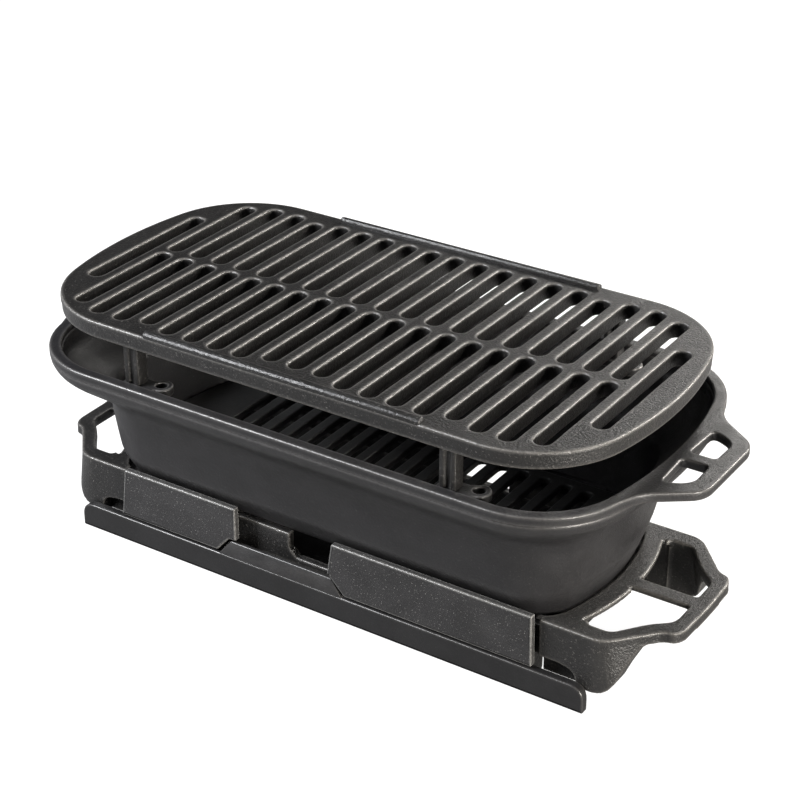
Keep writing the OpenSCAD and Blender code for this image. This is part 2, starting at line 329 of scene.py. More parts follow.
def fused(obj, voxel, passes):
    """Fuses overlapping blocks into one casting with soft edges."""
    m = obj.modifiers.new("r", "REMESH")
    m.mode = "VOXEL"
    m.voxel_size = voxel * MM
    m.adaptivity = 0.0
    applied(obj)
    m = obj.modifiers.new("s", "SMOOTH")
    m.factor = 0.5
    m.iterations = passes
    return applied(obj)


# how sharply an edge bulges, in 1/m, when it gets its full wear and painted edge highlight
FULL_WEAR_AND_SHEEN = 260.0


def mark_wear_and_sheen(obj, wear_sheen):
    """Stores how sharply each point bulges outwards, from 0 to the given amount, as the attribute that the
    iron finish uses for worn edges and a painted edge highlight.
    """
    mesh = obj.data
    n, m = len(mesh.vertices), len(mesh.edges)
    co, normal = np.empty(n * 3), np.empty(n * 3)
    mesh.vertices.foreach_get("co", co)
    mesh.vertex_normals.foreach_get("vector", normal)
    co, normal = co.reshape(-1, 3), normal.reshape(-1, 3)
    ends = np.empty(m * 2, np.int64)
    mesh.edges.foreach_get("vertices", ends)
    a, b = ends.reshape(-1, 2).T
    d = co[b] - co[a]
    square = np.maximum((d * d).sum(1), 1e-12)
    bulge, count = np.zeros(n), np.zeros(n)
    np.add.at(bulge, a, -(d * normal[a]).sum(1) / square)
    np.add.at(bulge, b, (d * normal[b]).sum(1) / square)
    np.add.at(count, a, 1)
    np.add.at(count, b, 1)
    value = wear_sheen * np.clip(bulge / np.maximum(count, 1) / FULL_WEAR_AND_SHEEN, 0, 1)
    layer = mesh.attributes.new("wear_and_sheen", "FLOAT", "POINT")
    layer.data.foreach_set("value", value.astype(np.float32))


def piece(obj, node, material, wear_sheen=1.0):
    """Finishes a piece: it rides on its node's body, stands for the node and takes the iron finish."""
    mark_wear_and_sheen(obj, wear_sheen)
    obj.data.materials.clear()
    obj.data.materials.append(material)
    for f in obj.data.polygons:
        f.use_smooth = True
    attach(obj, node)
    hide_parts(node)


# ---- materials ----

# how fine the iron's patterns are, in features per metre
CLOUD_SCALE = 28.0
SMEAR_SCALE = 60.0
WAVE_SCALE = 110.0
# the patches along the edges where wear and the painted edge highlight show
WEAR_SHEEN_PATCH_SCALE = 420.0
SAND_SCALE = 602.0
# the painted glints: pale specks that stand in for sparkles of light on the sand grain
GLINT_SCALE = 860.0


def iron(name, dark, light, rough, grain, speck, edge=0.5):
    """Seasoned cast iron: a dark oiled skin with sand grain, pale specks painted in as glints, and worn
    edges that also carry a painted edge highlight.

    dark is the skin's colour and light the colour of the painted glints and of the worn, highlighted
    edges, which show as strongly as speck and edge say. grain is the strength of the sand grain.
    """
    mat = bpy.data.materials.new(name)
    mat.use_nodes = True
    nodes, links = mat.node_tree.nodes, mat.node_tree.links
    bsdf = nodes["Principled BSDF"]
    coord = nodes.new("ShaderNodeTexCoord").outputs["Object"]

    def noise(scale, detail, roughness):
        node = nodes.new("ShaderNodeTexNoise")
        node.inputs["Scale"].default_value = scale
        node.inputs["Detail"].default_value = detail
        node.inputs["Roughness"].default_value = roughness
        links.new(coord, node.inputs["Vector"])
        return node.outputs["Fac"]

    def ramp(value, lo, hi, out_lo=0.0, out_hi=1.0):
        node = nodes.new("ShaderNodeMapRange")
        node.interpolation_type = "SMOOTHSTEP"
        node.inputs["From Min"].default_value = lo
        node.inputs["From Max"].default_value = hi
        node.inputs["To Min"].default_value = out_lo
        node.inputs["To Max"].default_value = out_hi
        links.new(value, node.inputs["Value"])
        return node.outputs["Result"]

    def math_node(kind, a, b):
        node = nodes.new("ShaderNodeMath")
        node.operation = kind
        for i, x in enumerate((a, b)):
            if isinstance(x, (int, float)):
                node.inputs[i].default_value = x
            else:
                links.new(x, node.inputs[i])
        return node.outputs[0]

    def mix(fac, a, b):
        node = nodes.new("ShaderNodeMix")
        node.data_type = "RGBA"
        for key, x in ((0, fac), (6, a), (7, b)):
            if isinstance(x, tuple):
                node.inputs[key].default_value = (*x, 1.0)
            else:
                links.new(x, node.inputs[key])
        return node.outputs[2]

    def bump(height, strength, distance):
        node = nodes.new("ShaderNodeBump")
        node.inputs["Strength"].default_value = strength
        node.inputs["Distance"].default_value = distance
        links.new(height, node.inputs["Height"])
        return node

    cloud = ramp(noise(CLOUD_SCALE, 3.0, 0.6), 0.3, 0.7)
    # painted glints: pale specks mixed into the colour in place of sparkles of light, with lower roughness
    # there too
    painted_glints = ramp(noise(GLINT_SCALE, 3.0, 0.65), 0.62, 0.71)
    # the edge mark: edges lightened partly as real wear and partly as a painted edge highlight
    wear_sheen = nodes.new("ShaderNodeAttribute")
    wear_sheen.attribute_name = "wear_and_sheen"
    patchy = ramp(noise(WEAR_SHEEN_PATCH_SCALE, 3.0, 0.6), 0.25, 0.6, 0.45, 1.0)
    wear_and_sheen = math_node("MULTIPLY", wear_sheen.outputs["Fac"], patchy)

    skin = mix(cloud, tuple(c * 0.8 for c in dark), tuple(c * 1.2 for c in dark))
    skin_with_glints = mix(math_node("MULTIPLY", painted_glints, speck), skin, light)
    colour = mix(math_node("MULTIPLY", wear_and_sheen, edge), skin_with_glints, light)
    links.new(colour, bsdf.inputs["Base Color"])

    skin_rough = ramp(noise(SMEAR_SCALE, 3.0, 0.6), 0.3, 0.7, rough - 0.05, rough + 0.06)
    worn_rough = math_node("ADD", skin_rough, math_node("MULTIPLY", wear_and_sheen, -0.12))
    speck_rough = math_node("MULTIPLY", painted_glints, -0.08 * speck)
    links.new(math_node("ADD", worn_rough, speck_rough), bsdf.inputs["Roughness"])
    bsdf.inputs["Specular IOR Level"].default_value = 0.5

    sand = bump(noise(SAND_SCALE, 4.0, 0.6), grain, 0.55 * MM)
    wave = bump(noise(WAVE_SCALE, 2.0, 0.5), 0.25, 0.6 * MM)
    links.new(wave.outputs["Normal"], sand.inputs["Normal"])
    links.new(sand.outputs["Normal"], bsdf.inputs["Normal"])
    return mat


GRATE_IRON = iron(
    "grate_iron", (0.0078, 0.0075, 0.0073), (0.26, 0.25, 0.235), rough=0.36, grain=1.0, speck=0.5
)
BOWL_IRON = iron(
    "bowl_iron", (0.0095, 0.0092, 0.0100), (0.16, 0.155, 0.15), rough=0.42, grain=0.5, speck=0.2
)
COAL_IRON = iron(
    "coal_grate_iron", (0.01, 0.01, 0.01), (0.06, 0.06, 0.06), rough=0.6, grain=0.4, speck=0.15, edge=0.3
)
BASE_IRON = iron(
    "base_iron", (0.012, 0.0117, 0.0115), (0.22, 0.21, 0.195), rough=0.37, grain=1.0, speck=0.55
)
DOOR_IRON = iron(
    "door_iron", (0.019, 0.0186, 0.019), (0.34, 0.335, 0.32), rough=0.37, grain=1.0, speck=0.7, edge=0.4
)
TRAY_IRON = iron(
    "tray_iron", (0.0085, 0.0083, 0.0087), (0.14, 0.135, 0.13), rough=0.42, grain=0.3, speck=0.14, edge=0.2
)


# ---- cooking grate ----

# which side a post or lug is on: left and right at the front, then at the rear
CORNERS = ((-1, -1), (1, -1), (-1, 1), (1, 1))

GRATE_THICK = 12.5
GRATE_CORNER = 72
GRATE_BOW = 290
SLOT_PITCH = 20.0
SLOT_WIDTH = 12.0
# half of the bridge between the front and the rear slots
SLOT_BRIDGE = 2.3
# how far the slots reach from the middle line, and the columns where they are shorter
SLOT_REACH = 105.5
SHORTER_REACH = {6: 100.5, 9: 98.0}
# the front slots of the three middle columns
MIDDLE_FRONT_REACH = 99.0
# the last column at each end is one slot across the middle line
END_COLUMN = 10
END_SLOT_REACH = 61.5

BAR_HALF = 108.0
BAR_ROUND = 0.5
BAR_END_ROUND = 0.8
# how far the outer and the inner side of a bar lie in from the edge of the grate
BAR_OUTER = 0.1
BAR_INNER = 6.2

POST_X = 125.0
POST_Y = 106.5
POST_HALF_WIDTH = 6.0
POST_HALF_DEPTH = 5.0
POST_CORNER = 1.2
GROOVE_MOUTH = 2.4
GROOVE_FLOOR = 1.3
GROOVE_DEPTH = 2.0
GROOVE_CORNER = 0.9
# how far a post reaches into the plate above it
POST_OVERLAP = 2
# the edges of the posts get hardly any wear or painted edge highlight
POST_WEAR_SHEEN = 0.1


def grate_slots(y0):
    holes = []
    for i in range(1 - END_COLUMN, END_COLUMN):
        x = i * SLOT_PITCH
        rear = SHORTER_REACH.get(abs(i), SLOT_REACH)
        front = MIDDLE_FRONT_REACH if abs(i) <= 1 else rear
        holes.append(slot_loop(x, y0 + SLOT_BRIDGE, y0 + rear, SLOT_WIDTH))
        holes.append(slot_loop(x, y0 - front, y0 - SLOT_BRIDGE, SLOT_WIDTH))
    for i in (-END_COLUMN, END_COLUMN):
        holes.append(slot_loop(i * SLOT_PITCH, y0 - END_SLOT_REACH, y0 + END_SLOT_REACH, SLOT_WIDTH))
    return holes


def edge_bar(name, side, y0, half_d, surface):
    """A low bar on a long edge of the grate, whose top slopes down to the outside."""
    outer = half_d - BAR_OUTER
    inner = half_d - BAR_INNER
    corners = [
        (inner, surface - 2),
        (outer, surface - 4),
        (outer, surface + 1.2),
        (outer - 1.0, surface + 2.6),
        (inner + 2.4, surface + 3.6),
        (inner + 0.9, surface + 3.3),
        (inner, surface + 1.6),
    ]
    section = path([(a, b, BAR_ROUND) for a, b in corners], 2)
    centre = section.mean(0)
    half_bar = ((BAR_HALF, 0.02), (BAR_HALF, 0.9), (BAR_HALF - BAR_END_ROUND, 1.0))
    rings = []
    for x, size in [(-x, size) for x, size in half_bar] + list(half_bar[::-1]):
        rings.append([(-side * x, y0 + side * a, b) for a, b in centre + (section - centre) * size])
    return capped(name, rings, flip=True)


def post_outline(x0, y0):
    """A rectangle with a groove in its front and its rear."""
    half = [
        (-POST_HALF_WIDTH, -POST_HALF_DEPTH, POST_CORNER),
        (-GROOVE_MOUTH, -POST_HALF_DEPTH, GROOVE_CORNER),
        (-GROOVE_FLOOR, GROOVE_DEPTH - POST_HALF_DEPTH, GROOVE_CORNER),
        (GROOVE_FLOOR, GROOVE_DEPTH - POST_HALF_DEPTH, GROOVE_CORNER),
        (GROOVE_MOUTH, -POST_HALF_DEPTH, GROOVE_CORNER),
        (POST_HALF_WIDTH, -POST_HALF_DEPTH, POST_CORNER),
    ]
    other_half = [(-x, -y, r) for x, y, r in half]
    return path([(x0 + x, y0 + y, r) for x, y, r in half + other_half], 3)


def cooking_grate():
    lo, hi = box("cooking_grate")
    y0 = (lo[1] + hi[1]) / 2
    half_l, half_d = hi[0], (hi[1] - lo[1]) / 2
    mounts = {m["name"]: m["pos_m"] for m in frame["record"]["mounts"]}
    surface = mounts["cooking_surface"][2] / MM
    under = surface - GRATE_THICK

    outline = bowed(half_l, half_d, GRATE_CORNER, GRATE_BOW, y0)
    top = plate("grate_plate", outline, grate_slots(y0), under, surface, top=1.3, bottom=1.6, draft=0.5)
    piece(top, "cooking_grate", GRATE_IRON)
    for side, label in ((-1, "front"), (1, "rear")):
        bar = edge_bar("grate_bar_" + label, side, y0, half_d, surface)
        piece(bar, "cooking_grate", GRATE_IRON)
    for number, (sx, sy) in enumerate(CORNERS, 1):
        outline = post_outline(sx * POST_X, y0 + sy * POST_Y)
        name = "grate_post_%d" % number
        post = plate(name, outline, [], lo[2], under + POST_OVERLAP, top=0.6, bottom=0.6, shelf=0.5)
        piece(post, "cooking_grate", GRATE_IRON, POST_WEAR_SHEEN)


# ---- fire bowl ----

# levels of the outside: height, half length, half depth, corner radius, radius of the bowed ends
FOOT = (50.0, 187.0, 68.0, 28.0, 172.0)
BELLY = (72.0, 194.5, 82.0, 39.0, 190.0)
WALL = (117.0, 201.0, 90.0, 56.0, 322.0)
RIM = (153.0, 232.0, 126.0, 67.0, 330.0)
# under the rim the outside rolls in and flares down to the wall: height, share of the way from WALL to RIM
ROLL = (
    (151, 0.985), (149, 0.965), (147, 0.94), (145, 0.905), (143, 0.855), (141, 0.795), (138, 0.69),
    (134, 0.55), (130, 0.41), (126.5, 0.29), (123.5, 0.195), (121, 0.125), (118.5, 0.07), (116, 0.03),
)

# the coal grate lies at this height, on a ledge round the open bottom
SEAT = 64.0
# levels of the inside, above the ledge
LOW_IN = (SEAT + 2.5, 187.2, 71.3, 25, 170)
WALL_IN = (121.0, 195.0, 84.0, 50.0, 316.0)
NECK_IN = (146.0, 223.0, 117.0, 58.0, 321.0)

# the notch low in the rear wall, right of the middle
NOTCH_LEFT = 33
NOTCH_RIGHT = 73
NOTCH_FRONT = 50
NOTCH_REAR = 100
NOTCH_TOP = 67

RIM_THICK = 7.0
RIM_WIDTH = 8.6
# where a handle grows out of the rim
GRIP_ROOT_Y = 73
# half of a handle's window: x, y and how much each corner is rounded
GRIP_WINDOW = [(249.5, 5, 3.5), (250, 26, 4), (245, 32.5, 4), (233, 38, 5), (231.5, 5, 4)]

LUG_X = 125.0
LUG_Y = 98.0
# the lugs follow the cooking grate, whose middle is this far in front of the bowl's
LUG_FORWARD = 2.0
LUG_THICK = 6
LUG_UNDER_RIM = 10
# outline of a rear lug, from the wall to the eye
LUG_SIDE = [(-9, 23), (-9, 1.5), (-7.5, 0), (9, 0)]
LUG_END = [(17, 23)]
EYE_X = 17
EYE_Y = 3
EYE_R = 8
EYE_HOLE_R = 4


def ring(z, shape, inset=0.0):
    """The bowl's outline of a given shape at height z, moved in by inset."""
    half_l, half_d, r, bow = (v - inset for v in shape)
    return [(x, y, z) for x, y in bowed(half_l, half_d, r, bow, n_end=10, n_corner=20)]


def between(a, b, k):
    """The shape a share k of the way from level a to level b."""
    return tuple(p + (q - p) * k for p, q in zip(a[1:], b[1:]))


def at_height(a, b, z):
    """The shape at height z between levels a and b."""
    return between(a, b, (z - a[0]) / (b[0] - a[0]))


def outside_rings(foot, top):
    """The outside of the bowl, from under the rim down to the foot."""
    rim = RIM[1:]
    rings = [ring(top - 4, rim, 2.4), ring(top - 6.2, rim, 1.0), ring(top - 7.4, rim, 0.3)]
    rings += [ring(z, between(WALL, RIM, k)) for z, k in ROLL]
    rings += [ring(z, at_height(BELLY, WALL, z)) for z in (112.5, 104, 95, 86, 79, 75)]
    rings.append(ring(72.5, at_height(BELLY, WALL, 72), 0.1))
    rings.append(ring(70, at_height(FOOT, BELLY, 70.5), 0.2))
    rings += [ring(z, at_height(FOOT, BELLY, z)) for z in (66, 61, 56, 52.5)]
    rings += [ring(foot + z, FOOT[1:], inset) for z, inset in ((1.0, 0.3), (0.3, 0.9), (0, 1.8))]
    return rings


def inside_rings(foot, top):
    """The inside of the bowl, from the foot over the ledge up to the rim."""
    rings = []
    for z, *shape in (
        (foot, 175, 58, 22, 162),
        (foot + 0.4, 173.7, 56.7, 20.7, 160.7),
        (foot + 1.6, 173, 56, 20, 160),
        (SEAT - 1.5, 173, 56, 20, 160),
        (SEAT - 0.4, 173.4, 56.4, 20.4, 160),
        (SEAT, 174.5, 57.5, 21, 161),
        (SEAT, 185.4, 69.4, 22.8, 164.6),
        (SEAT + 0.5, 186.5, 70.5, 23.6, 165.6),
        LOW_IN,
    ):
        rings.append(ring(z, shape))
    rings += [ring(z, at_height(LOW_IN, WALL_IN, z)) for z in (72, 82, 94, 106, 115)]
    rings.append(ring(119, at_height(LOW_IN, WALL_IN, 118)))
    rings += [ring(z, between(WALL_IN, NECK_IN, k)) for z, k in ((122, 0.06), (125, 0.16))]
    rings += [ring(z, at_height(WALL_IN, NECK_IN, z)) for z in (130, 136, 141)]
    rings.append(ring(144.4, between(WALL_IN, NECK_IN, 0.92)))
    rings.append(ring(148, NECK_IN[1:], -0.1))
    rings += [ring(top - 6, RIM[1:], 9.4), ring(top - 4, RIM[1:], 8.8)]
    return rings


def bowl_rim(reach, top):
    """The rim with its two handles, in one flat plate."""
    steps = {"n_end": 10, "n_corner": 24}
    edge = np.array(bowed_quarter(*RIM[1:], **steps))
    edge = edge[edge[:, 1] > GRIP_ROOT_Y]
    grip = path([(reach, 0), (reach, 34.5, 10), (230.5, 57.5, 9), tuple(edge[0])])
    outline = all_round(np.vstack([grip[:-1], edge]))
    opening = bowed(*(v - RIM_WIDTH for v in RIM[1:]), **steps)
    holes = [opening] + mirrored_holes(path(GRIP_WINDOW, 5))
    return plate("bowl_rim", outline, holes, top - RIM_THICK, top, top=1.3, bottom=1.6)


def lug(name, sx, sy, top):
    """A lug inside the rim that carries a post of the cooking grate, with an eye beside the post."""
    eye = arc(EYE_X, EYE_Y, EYE_R, -QUARTER_TURN, QUARTER_TURN, 12)
    hole = arc(EYE_X, EYE_Y, EYE_HOLE_R, 0, 2 * math.pi, 24)[:-1]
    place = [sx * LUG_X, sy * LUG_Y - LUG_FORWARD]
    outline = np.array(LUG_SIDE + eye + LUG_END) * [1, sy] + place
    hole = np.array(hole) * [1, sy] + place
    under = top - LUG_UNDER_RIM
    return plate(name, outline, [hole], under, under + LUG_THICK, top=1.0, bottom=1.0, shelf=0.4)


def fire_bowl():
    lo, hi = box("fire_bowl")
    top, foot = hi[2], lo[2]
    shell = loft("bowl_shell", outside_rings(foot, top) + inside_rings(foot, top))
    notch = rectangle(NOTCH_LEFT, NOTCH_RIGHT, NOTCH_FRONT, NOTCH_REAR)
    cut(shell, prism("notch", notch, foot - CLEAR, NOTCH_TOP))
    parts = [shell, bowl_rim(hi[0], top)]
    parts += [lug("bowl_lug_%d" % number, sx, sy, top) for number, (sx, sy) in enumerate(CORNERS, 1)]
    for p in parts:
        piece(p, "fire_bowl", BOWL_IRON)


# ---- coal grate ----

COAL_CORNER = 26
COAL_BOW = 168
# columns of slots on each side of the middle one
COAL_COLUMNS = 8
COAL_PITCH = 16.8
COAL_SLOT_WIDTH = 8.4
COAL_BRIDGE = 4
COAL_BORDER = 8
# near the ends the slots become shorter, over this length and by this much
COAL_TAPER_LENGTH = 62
COAL_TAPER = 22


def coal_grate():
    lo, hi = box("coal_grate")
    half_l, half_d = hi[0], hi[1]
    holes = []
    for i in range(-COAL_COLUMNS, COAL_COLUMNS + 1):
        x = i * COAL_PITCH
        near_end = max(0.0, (abs(x) - half_l + COAL_TAPER_LENGTH) / COAL_TAPER_LENGTH)
        far = half_d - COAL_BORDER - COAL_TAPER * near_end**2
        holes.append(slot_loop(x, COAL_BRIDGE, far, COAL_SLOT_WIDTH))
        holes.append(slot_loop(x, -far, -COAL_BRIDGE, COAL_SLOT_WIDTH))
    outline = bowed(half_l, half_d, COAL_CORNER, COAL_BOW)
    p = plate("coal_grate_plate", outline, holes, lo[2], hi[2], top=1.1, bottom=1.0, shelf=1.0)
    piece(p, "coal_grate", COAL_IRON)


# ---- base ----

# Outlines are for the right or the rear side, measured from the middle of the base. A third value is how
# much a corner is rounded.
DECK_THICK = 8
# where the two ends of the top plate begin
DECK_END_X = 172
# the bowl's opening in the top plate: half length, half depth, corner radius, radius of the bowed ends
OPENING = (191, 74, 32, 172)
# a handle's two windows lie between its frame, its middle bar and an arc round a point on the middle line
FRAME_INSIDE = [(243.7, 27, 5), (231, 38, 6), (214.5, 59.8, 5)]
FRAME_END_X = 244
FRAME_SIDE_Y = 59.8
WINDOW_START = [(199, 6, 3), (FRAME_END_X, 6, 2.5)]
WINDOW_END = [(197.5, FRAME_SIDE_Y, 4)]
ARC_X = 40
ARC_R = 163.5
ARC_START_Y = 58
ARC_END_Y = 8.5
# a leg follows the frame's inside beyond this X and Y
ALONG_LEG_X = 198
ALONG_LEG_Y = 30
# the handle's middle bar and inner edge are thinner than its frame
THIN_THICK = 4
THIN_START_X = 170

LEG_BOTTOM = 12.5
LEG_INNER_X = 170.5
# the outer side of a leg seen from the front, from its lower edge up to the handle
LEG_SWEEP = [
    (207, LEG_BOTTOM, 4), (214, 15.3, 3), (219.2, 22.2, 4), (223.7, 31.6, 4),
    (228.3, 39.2, 4), (231.8, 45.2, 2.5), (236.5, 48, 2.5), (245, 48.4),
]
# blocks that cut a leg to shape reach this deep, and between these two distances from the middle
LEG_TOOL_DEPTH = 120
LEG_TOOL_X = (150, 270)
# the leg runs along the handle's frame this far towards the middle line
LEG_END_Y = 38
# beside the draft doors the legs are set back below the top plate: seen from the front, and from this Y on
ARCH = [(150, -20), (198, -20), (198, 25, 8), (184, 27.5, 4), (150, 27.5)]
ARCH_Y = 66
ARCH_DEPTH = 30

# the grill stands on a pad under each end of both long walls, beside the legs
PAD_START_X = 147
PAD_END_X = 162
PAD = [(50, 0, 2), (65.5, 0, 2), (65.5, 30), (50, 30)]

WALL_BOTTOM = 23
WALL_HALF = 175
WALL_INNER_Y = 60
WALL_OUTER_Y = 66
FRONT_WALL_TOP = 46
REAR_WALL_TOP = 49.5
# the draft opening in the front wall, seen from the front
DRAFT_OPENING = [(-31, 52), (-31, 34), (-25, 28), (25, 28), (31, 34), (31, 52)]
# the end walls, and the shelves outside them that the bowl stands on
BOWL_SEAT = 49.9
END_WALL = (168, 174)
SHELF = (172, 192)
SHELF_BOTTOM = 42
END_HALF = 61

# the legs spread by this much, growing outwards from the start and downwards from the top
SPLAY = 4.2
SPLAY_START_X = 204
SPLAY_WIDTH = 12
SPLAY_TOP = 50
SPLAY_DROP = 26

# the size of the grid that the casting is fused on, and how often it is smoothed
CASTING_GRID = 0.9
CASTING_SMOOTHING = 4


def handle_window():
    """Half of a handle's window, and the part of its edge that a leg follows."""
    sides = path(WINDOW_START + FRAME_INSIDE + WINDOW_END, 5)
    start, end = (math.asin(y / ARC_R) for y in (ARC_START_Y, ARC_END_Y))
    window = np.vstack([sides[3:], arc(ARC_X, 0, ARC_R, start, end, 11)])
    beyond = (sides[:, 0] > ALONG_LEG_X) & (sides[:, 1] > ALONG_LEG_Y)
    along_leg = sides[beyond][::-1]
    return window, along_leg


def deck_end(s, x0, quarter, window, bottom, top):
    """One end of the top plate, with its handle: its outer edge, then back along the bowl's opening."""
    edge = np.array(bowed_quarter(*OPENING, n_end=8, n_corner=14))
    edge = edge[edge[:, 0] > DECK_END_X]
    outer = np.vstack([quarter[::-1] * [1, -1], quarter]) + [x0 * s, 0]
    half_d, corner_y = quarter[-1, 1], edge[-1, 1]
    inner = np.vstack([[[DECK_END_X, half_d], [DECK_END_X, corner_y]], edge[::-1]])
    inner = np.vstack([inner, inner[::-1] * [1, -1]])
    deck = prism("deck", np.vstack([outer[1:-1], inner]) * [s, 1], bottom, top)
    thin = [(THIN_START_X, -1), (FRAME_END_X, -1)] + FRAME_INSIDE + [(THIN_START_X, FRAME_SIDE_Y)]
    for m in (1, -1):
        cut(deck, prism("tool", window * [s, m] + [x0, 0], bottom - CLEAR, top + CLEAR))
        cut(deck, prism("tool", path(thin, 5) * [s, m] + [x0, 0], bottom - CLEAR, top - THIN_THICK))
    return deck


def leg(sx, sy, quarter, along_leg, up):
    """A leg: the shape seen from above, cut to the shapes seen from the front and from the side."""
    half_d = quarter[-1, 1]
    inner = [(LEG_INNER_X, half_d), (LEG_INNER_X, FRAME_SIDE_Y), (196, FRAME_SIDE_Y)]
    plan = np.vstack([quarter[quarter[:, 1] > LEG_END_Y], inner, along_leg])
    body = prism("leg", plan * [sx, sy], -1, up)
    front = path([(165, up), (165, LEG_BOTTOM)] + LEG_SWEEP + [(245, up)], 5)
    side = path([(half_d, up), (half_d, LEG_BOTTOM, 3.5), (LEG_END_Y, LEG_BOTTOM), (LEG_END_Y, up)], 5)
    front_tool = prism("tool", front * [sx, 1], 0, LEG_TOOL_DEPTH)
    boolean(body, stand_up(front_tool, LEG_TOOL_DEPTH if sy > 0 else 0), "INTERSECT")
    x0, x1 = sorted(sx * x for x in LEG_TOOL_X)
    boolean(body, lay_along_x(prism("tool", side * [sy, 1], x0, x1)), "INTERSECT")
    arch = prism("tool", path(ARCH, 6) * [sx, 1], 0, ARCH_DEPTH)
    return cut(body, stand_up(arch, ARCH_Y + ARCH_DEPTH if sy > 0 else -ARCH_Y))


def pad(sx, sy):
    x0, x1 = sorted((sx * PAD_START_X, sx * PAD_END_X))
    return lay_along_x(prism("foot", path(PAD, 3) * [sy, 1], x0, x1))


def walls():
    parts = []
    for s in (1, -1):
        outline = rectangle(-WALL_HALF, WALL_HALF, WALL_INNER_Y, WALL_OUTER_Y) * [1, s]
        wall = prism("wall", outline, WALL_BOTTOM, REAR_WALL_TOP if s > 0 else FRONT_WALL_TOP)
        if s < 0:
            cut(wall, stand_up(prism("tool", path(DRAFT_OPENING), 0, 20), -55))
        parts.append(wall)
        end = rectangle(*END_WALL, -END_HALF, END_HALF) * [s, 1]
        parts.append(prism("end", end, WALL_BOTTOM, BOWL_SEAT))
        shelf = rectangle(*SHELF, -END_HALF, END_HALF) * [s, 1]
        parts.append(prism("shelf", shelf, SHELF_BOTTOM, BOWL_SEAT))
    return parts


def splay(obj, x0):
    """Spreads the legs a little towards their lower edge."""
    for v in obj.data.vertices:
        x, z = v.co.x / MM - x0, v.co.z / MM
        outward = min(1.0, max(0.0, (abs(x) - SPLAY_START_X) / SPLAY_WIDTH))
        downward = min(1.0, max(0.0, (SPLAY_TOP - z) / SPLAY_DROP))
        v.co.x += math.copysign(SPLAY * outward * downward, x) * MM
    obj.data.update()


def base():
    lo, hi = box("base")
    x0, y0 = (lo[0] + hi[0]) / 2, (lo[1] + hi[1]) / 2
    reach, half_d = (hi[0] - lo[0]) / 2, (hi[1] - lo[1]) / 2
    top = hi[2]
    bottom = top - DECK_THICK
    corners = [(reach - 1, 33, 4), (reach - 5, 39.8, 3), (243, 41.5, 4), (215.5, half_d, 9)]
    quarter = path([(reach, 0)] + corners + [(DECK_END_X, half_d)])
    window, along_leg = handle_window()
    parts = [deck_end(s, x0, quarter, window, bottom, top) for s in (1, -1)]
    for sx in (1, -1):
        for sy in (1, -1):
            parts.append(shifted(leg(sx, sy, quarter, along_leg, bottom + 2), x0, 0))
            parts.append(shifted(pad(sx, sy), x0, 0))
    casting = shifted(joined("base_casting", parts + walls()), 0, y0)
    fused(casting, CASTING_GRID, CASTING_SMOOTHING)
    splay(casting, x0)
    piece(casting, "base", BASE_IRON)


# ---- draft doors ----

DOOR_THICK = 5
# each door's outline seen from the front, and the ends of the hook behind it
DOORS = {
    "draft_door_left": (
        [(-172, 21.5, 1), (-85, 21.5, 1), (-74, 34, 1), (-68, 34, 1), (-68, 60, 1), (-167, 60, 1)],
        (-135.5, -78),
    ),
    "draft_door_right": (
        [(171, 21.5, 1), (24, 21.5, 1), (12, 34, 0.6), (10, 34, 0.6), (14, 60, 1), (170, 60, 1)],
        (24, 136),
    ),
}
# the hook seen from the side, as distance behind the door and height: it hangs over the front wall
HOOK = [(-1, 46.6, 0.5), (17, 46.6, 0.3), (17, 38, 0.8), (19.3, 38, 0.8), (19.3, 49.4, 0.9), (-1, 49.4, 0.5)]


def doors():
    for node, (outline, hook_ends) in DOORS.items():
        back = box(node)[0][1] + DOOR_THICK
        door = plate(node + "_plate", path(outline, 3), [], 0, DOOR_THICK, top=0.9, bottom=0.7, shelf=0.8)
        piece(stand_up(door, back), node, DOOR_IRON)
        section = path([(back + y, z, r) for y, z, r in HOOK], 2)
        hook = plate(node + "_hook", section, [], *hook_ends, top=0.6, bottom=0.6, shelf=0.3)
        piece(lay_along_x(hook), node, DOOR_IRON)


# ---- ash tray ----

PANEL_THICK = 6.5
PANEL_TOP = 20
PANEL_BOTTOM = 0.6
# the tab on the panel: its outline seen from the front, and its section as distance from the panel's back
TAB = [(-83, 17), (23, 17), (23, 19.6), (12, 31), (-74, 31), (-83, 19.6)]
TAB_SECTION = [(-0.4, 17), (-0.4, 31), (-3.5, 31), (-6.2, 21), (-6.2, 17)]
TAB_BEVEL = 0.7
PAN_HALF = 142
PAN_CORNER = 4
# the pan from its floor over its rim down to its underside: distance in from the outside, height
PAN_RINGS = ((2.4, 4.0), (2.4, 14.8), (1.8, 15.4), (0.6, 15.4), (0, 14.8), (0, 1.4), (0.8, 0.6))


def tray_tab(back):
    tab = stand_up(prism("tray_tab", TAB, -1, 8), back)
    section = [(back + y, z) for y, z in TAB_SECTION]
    boolean(tab, lay_along_x(prism("tool", section, -100, 40)), "INTERSECT")
    m = tab.modifiers.new("b", "BEVEL")
    m.width = TAB_BEVEL * MM
    m.segments = 3
    m.limit_method = "ANGLE"
    return applied(tab)


def tray_pan(y1, y2):
    """The pan between depths y1 and y2."""
    rings = []
    for d, z in PAN_RINGS:
        half = PAN_HALF - d
        r = PAN_CORNER - d * 0.8
        outline = path([(half, y1 + d, r), (half, y2 - d, r), (-half, y2 - d, r), (-half, y1 + d, r)], 4)
        rings.append([(x, y, z) for x, y in outline])
    return capped("tray_pan", rings)


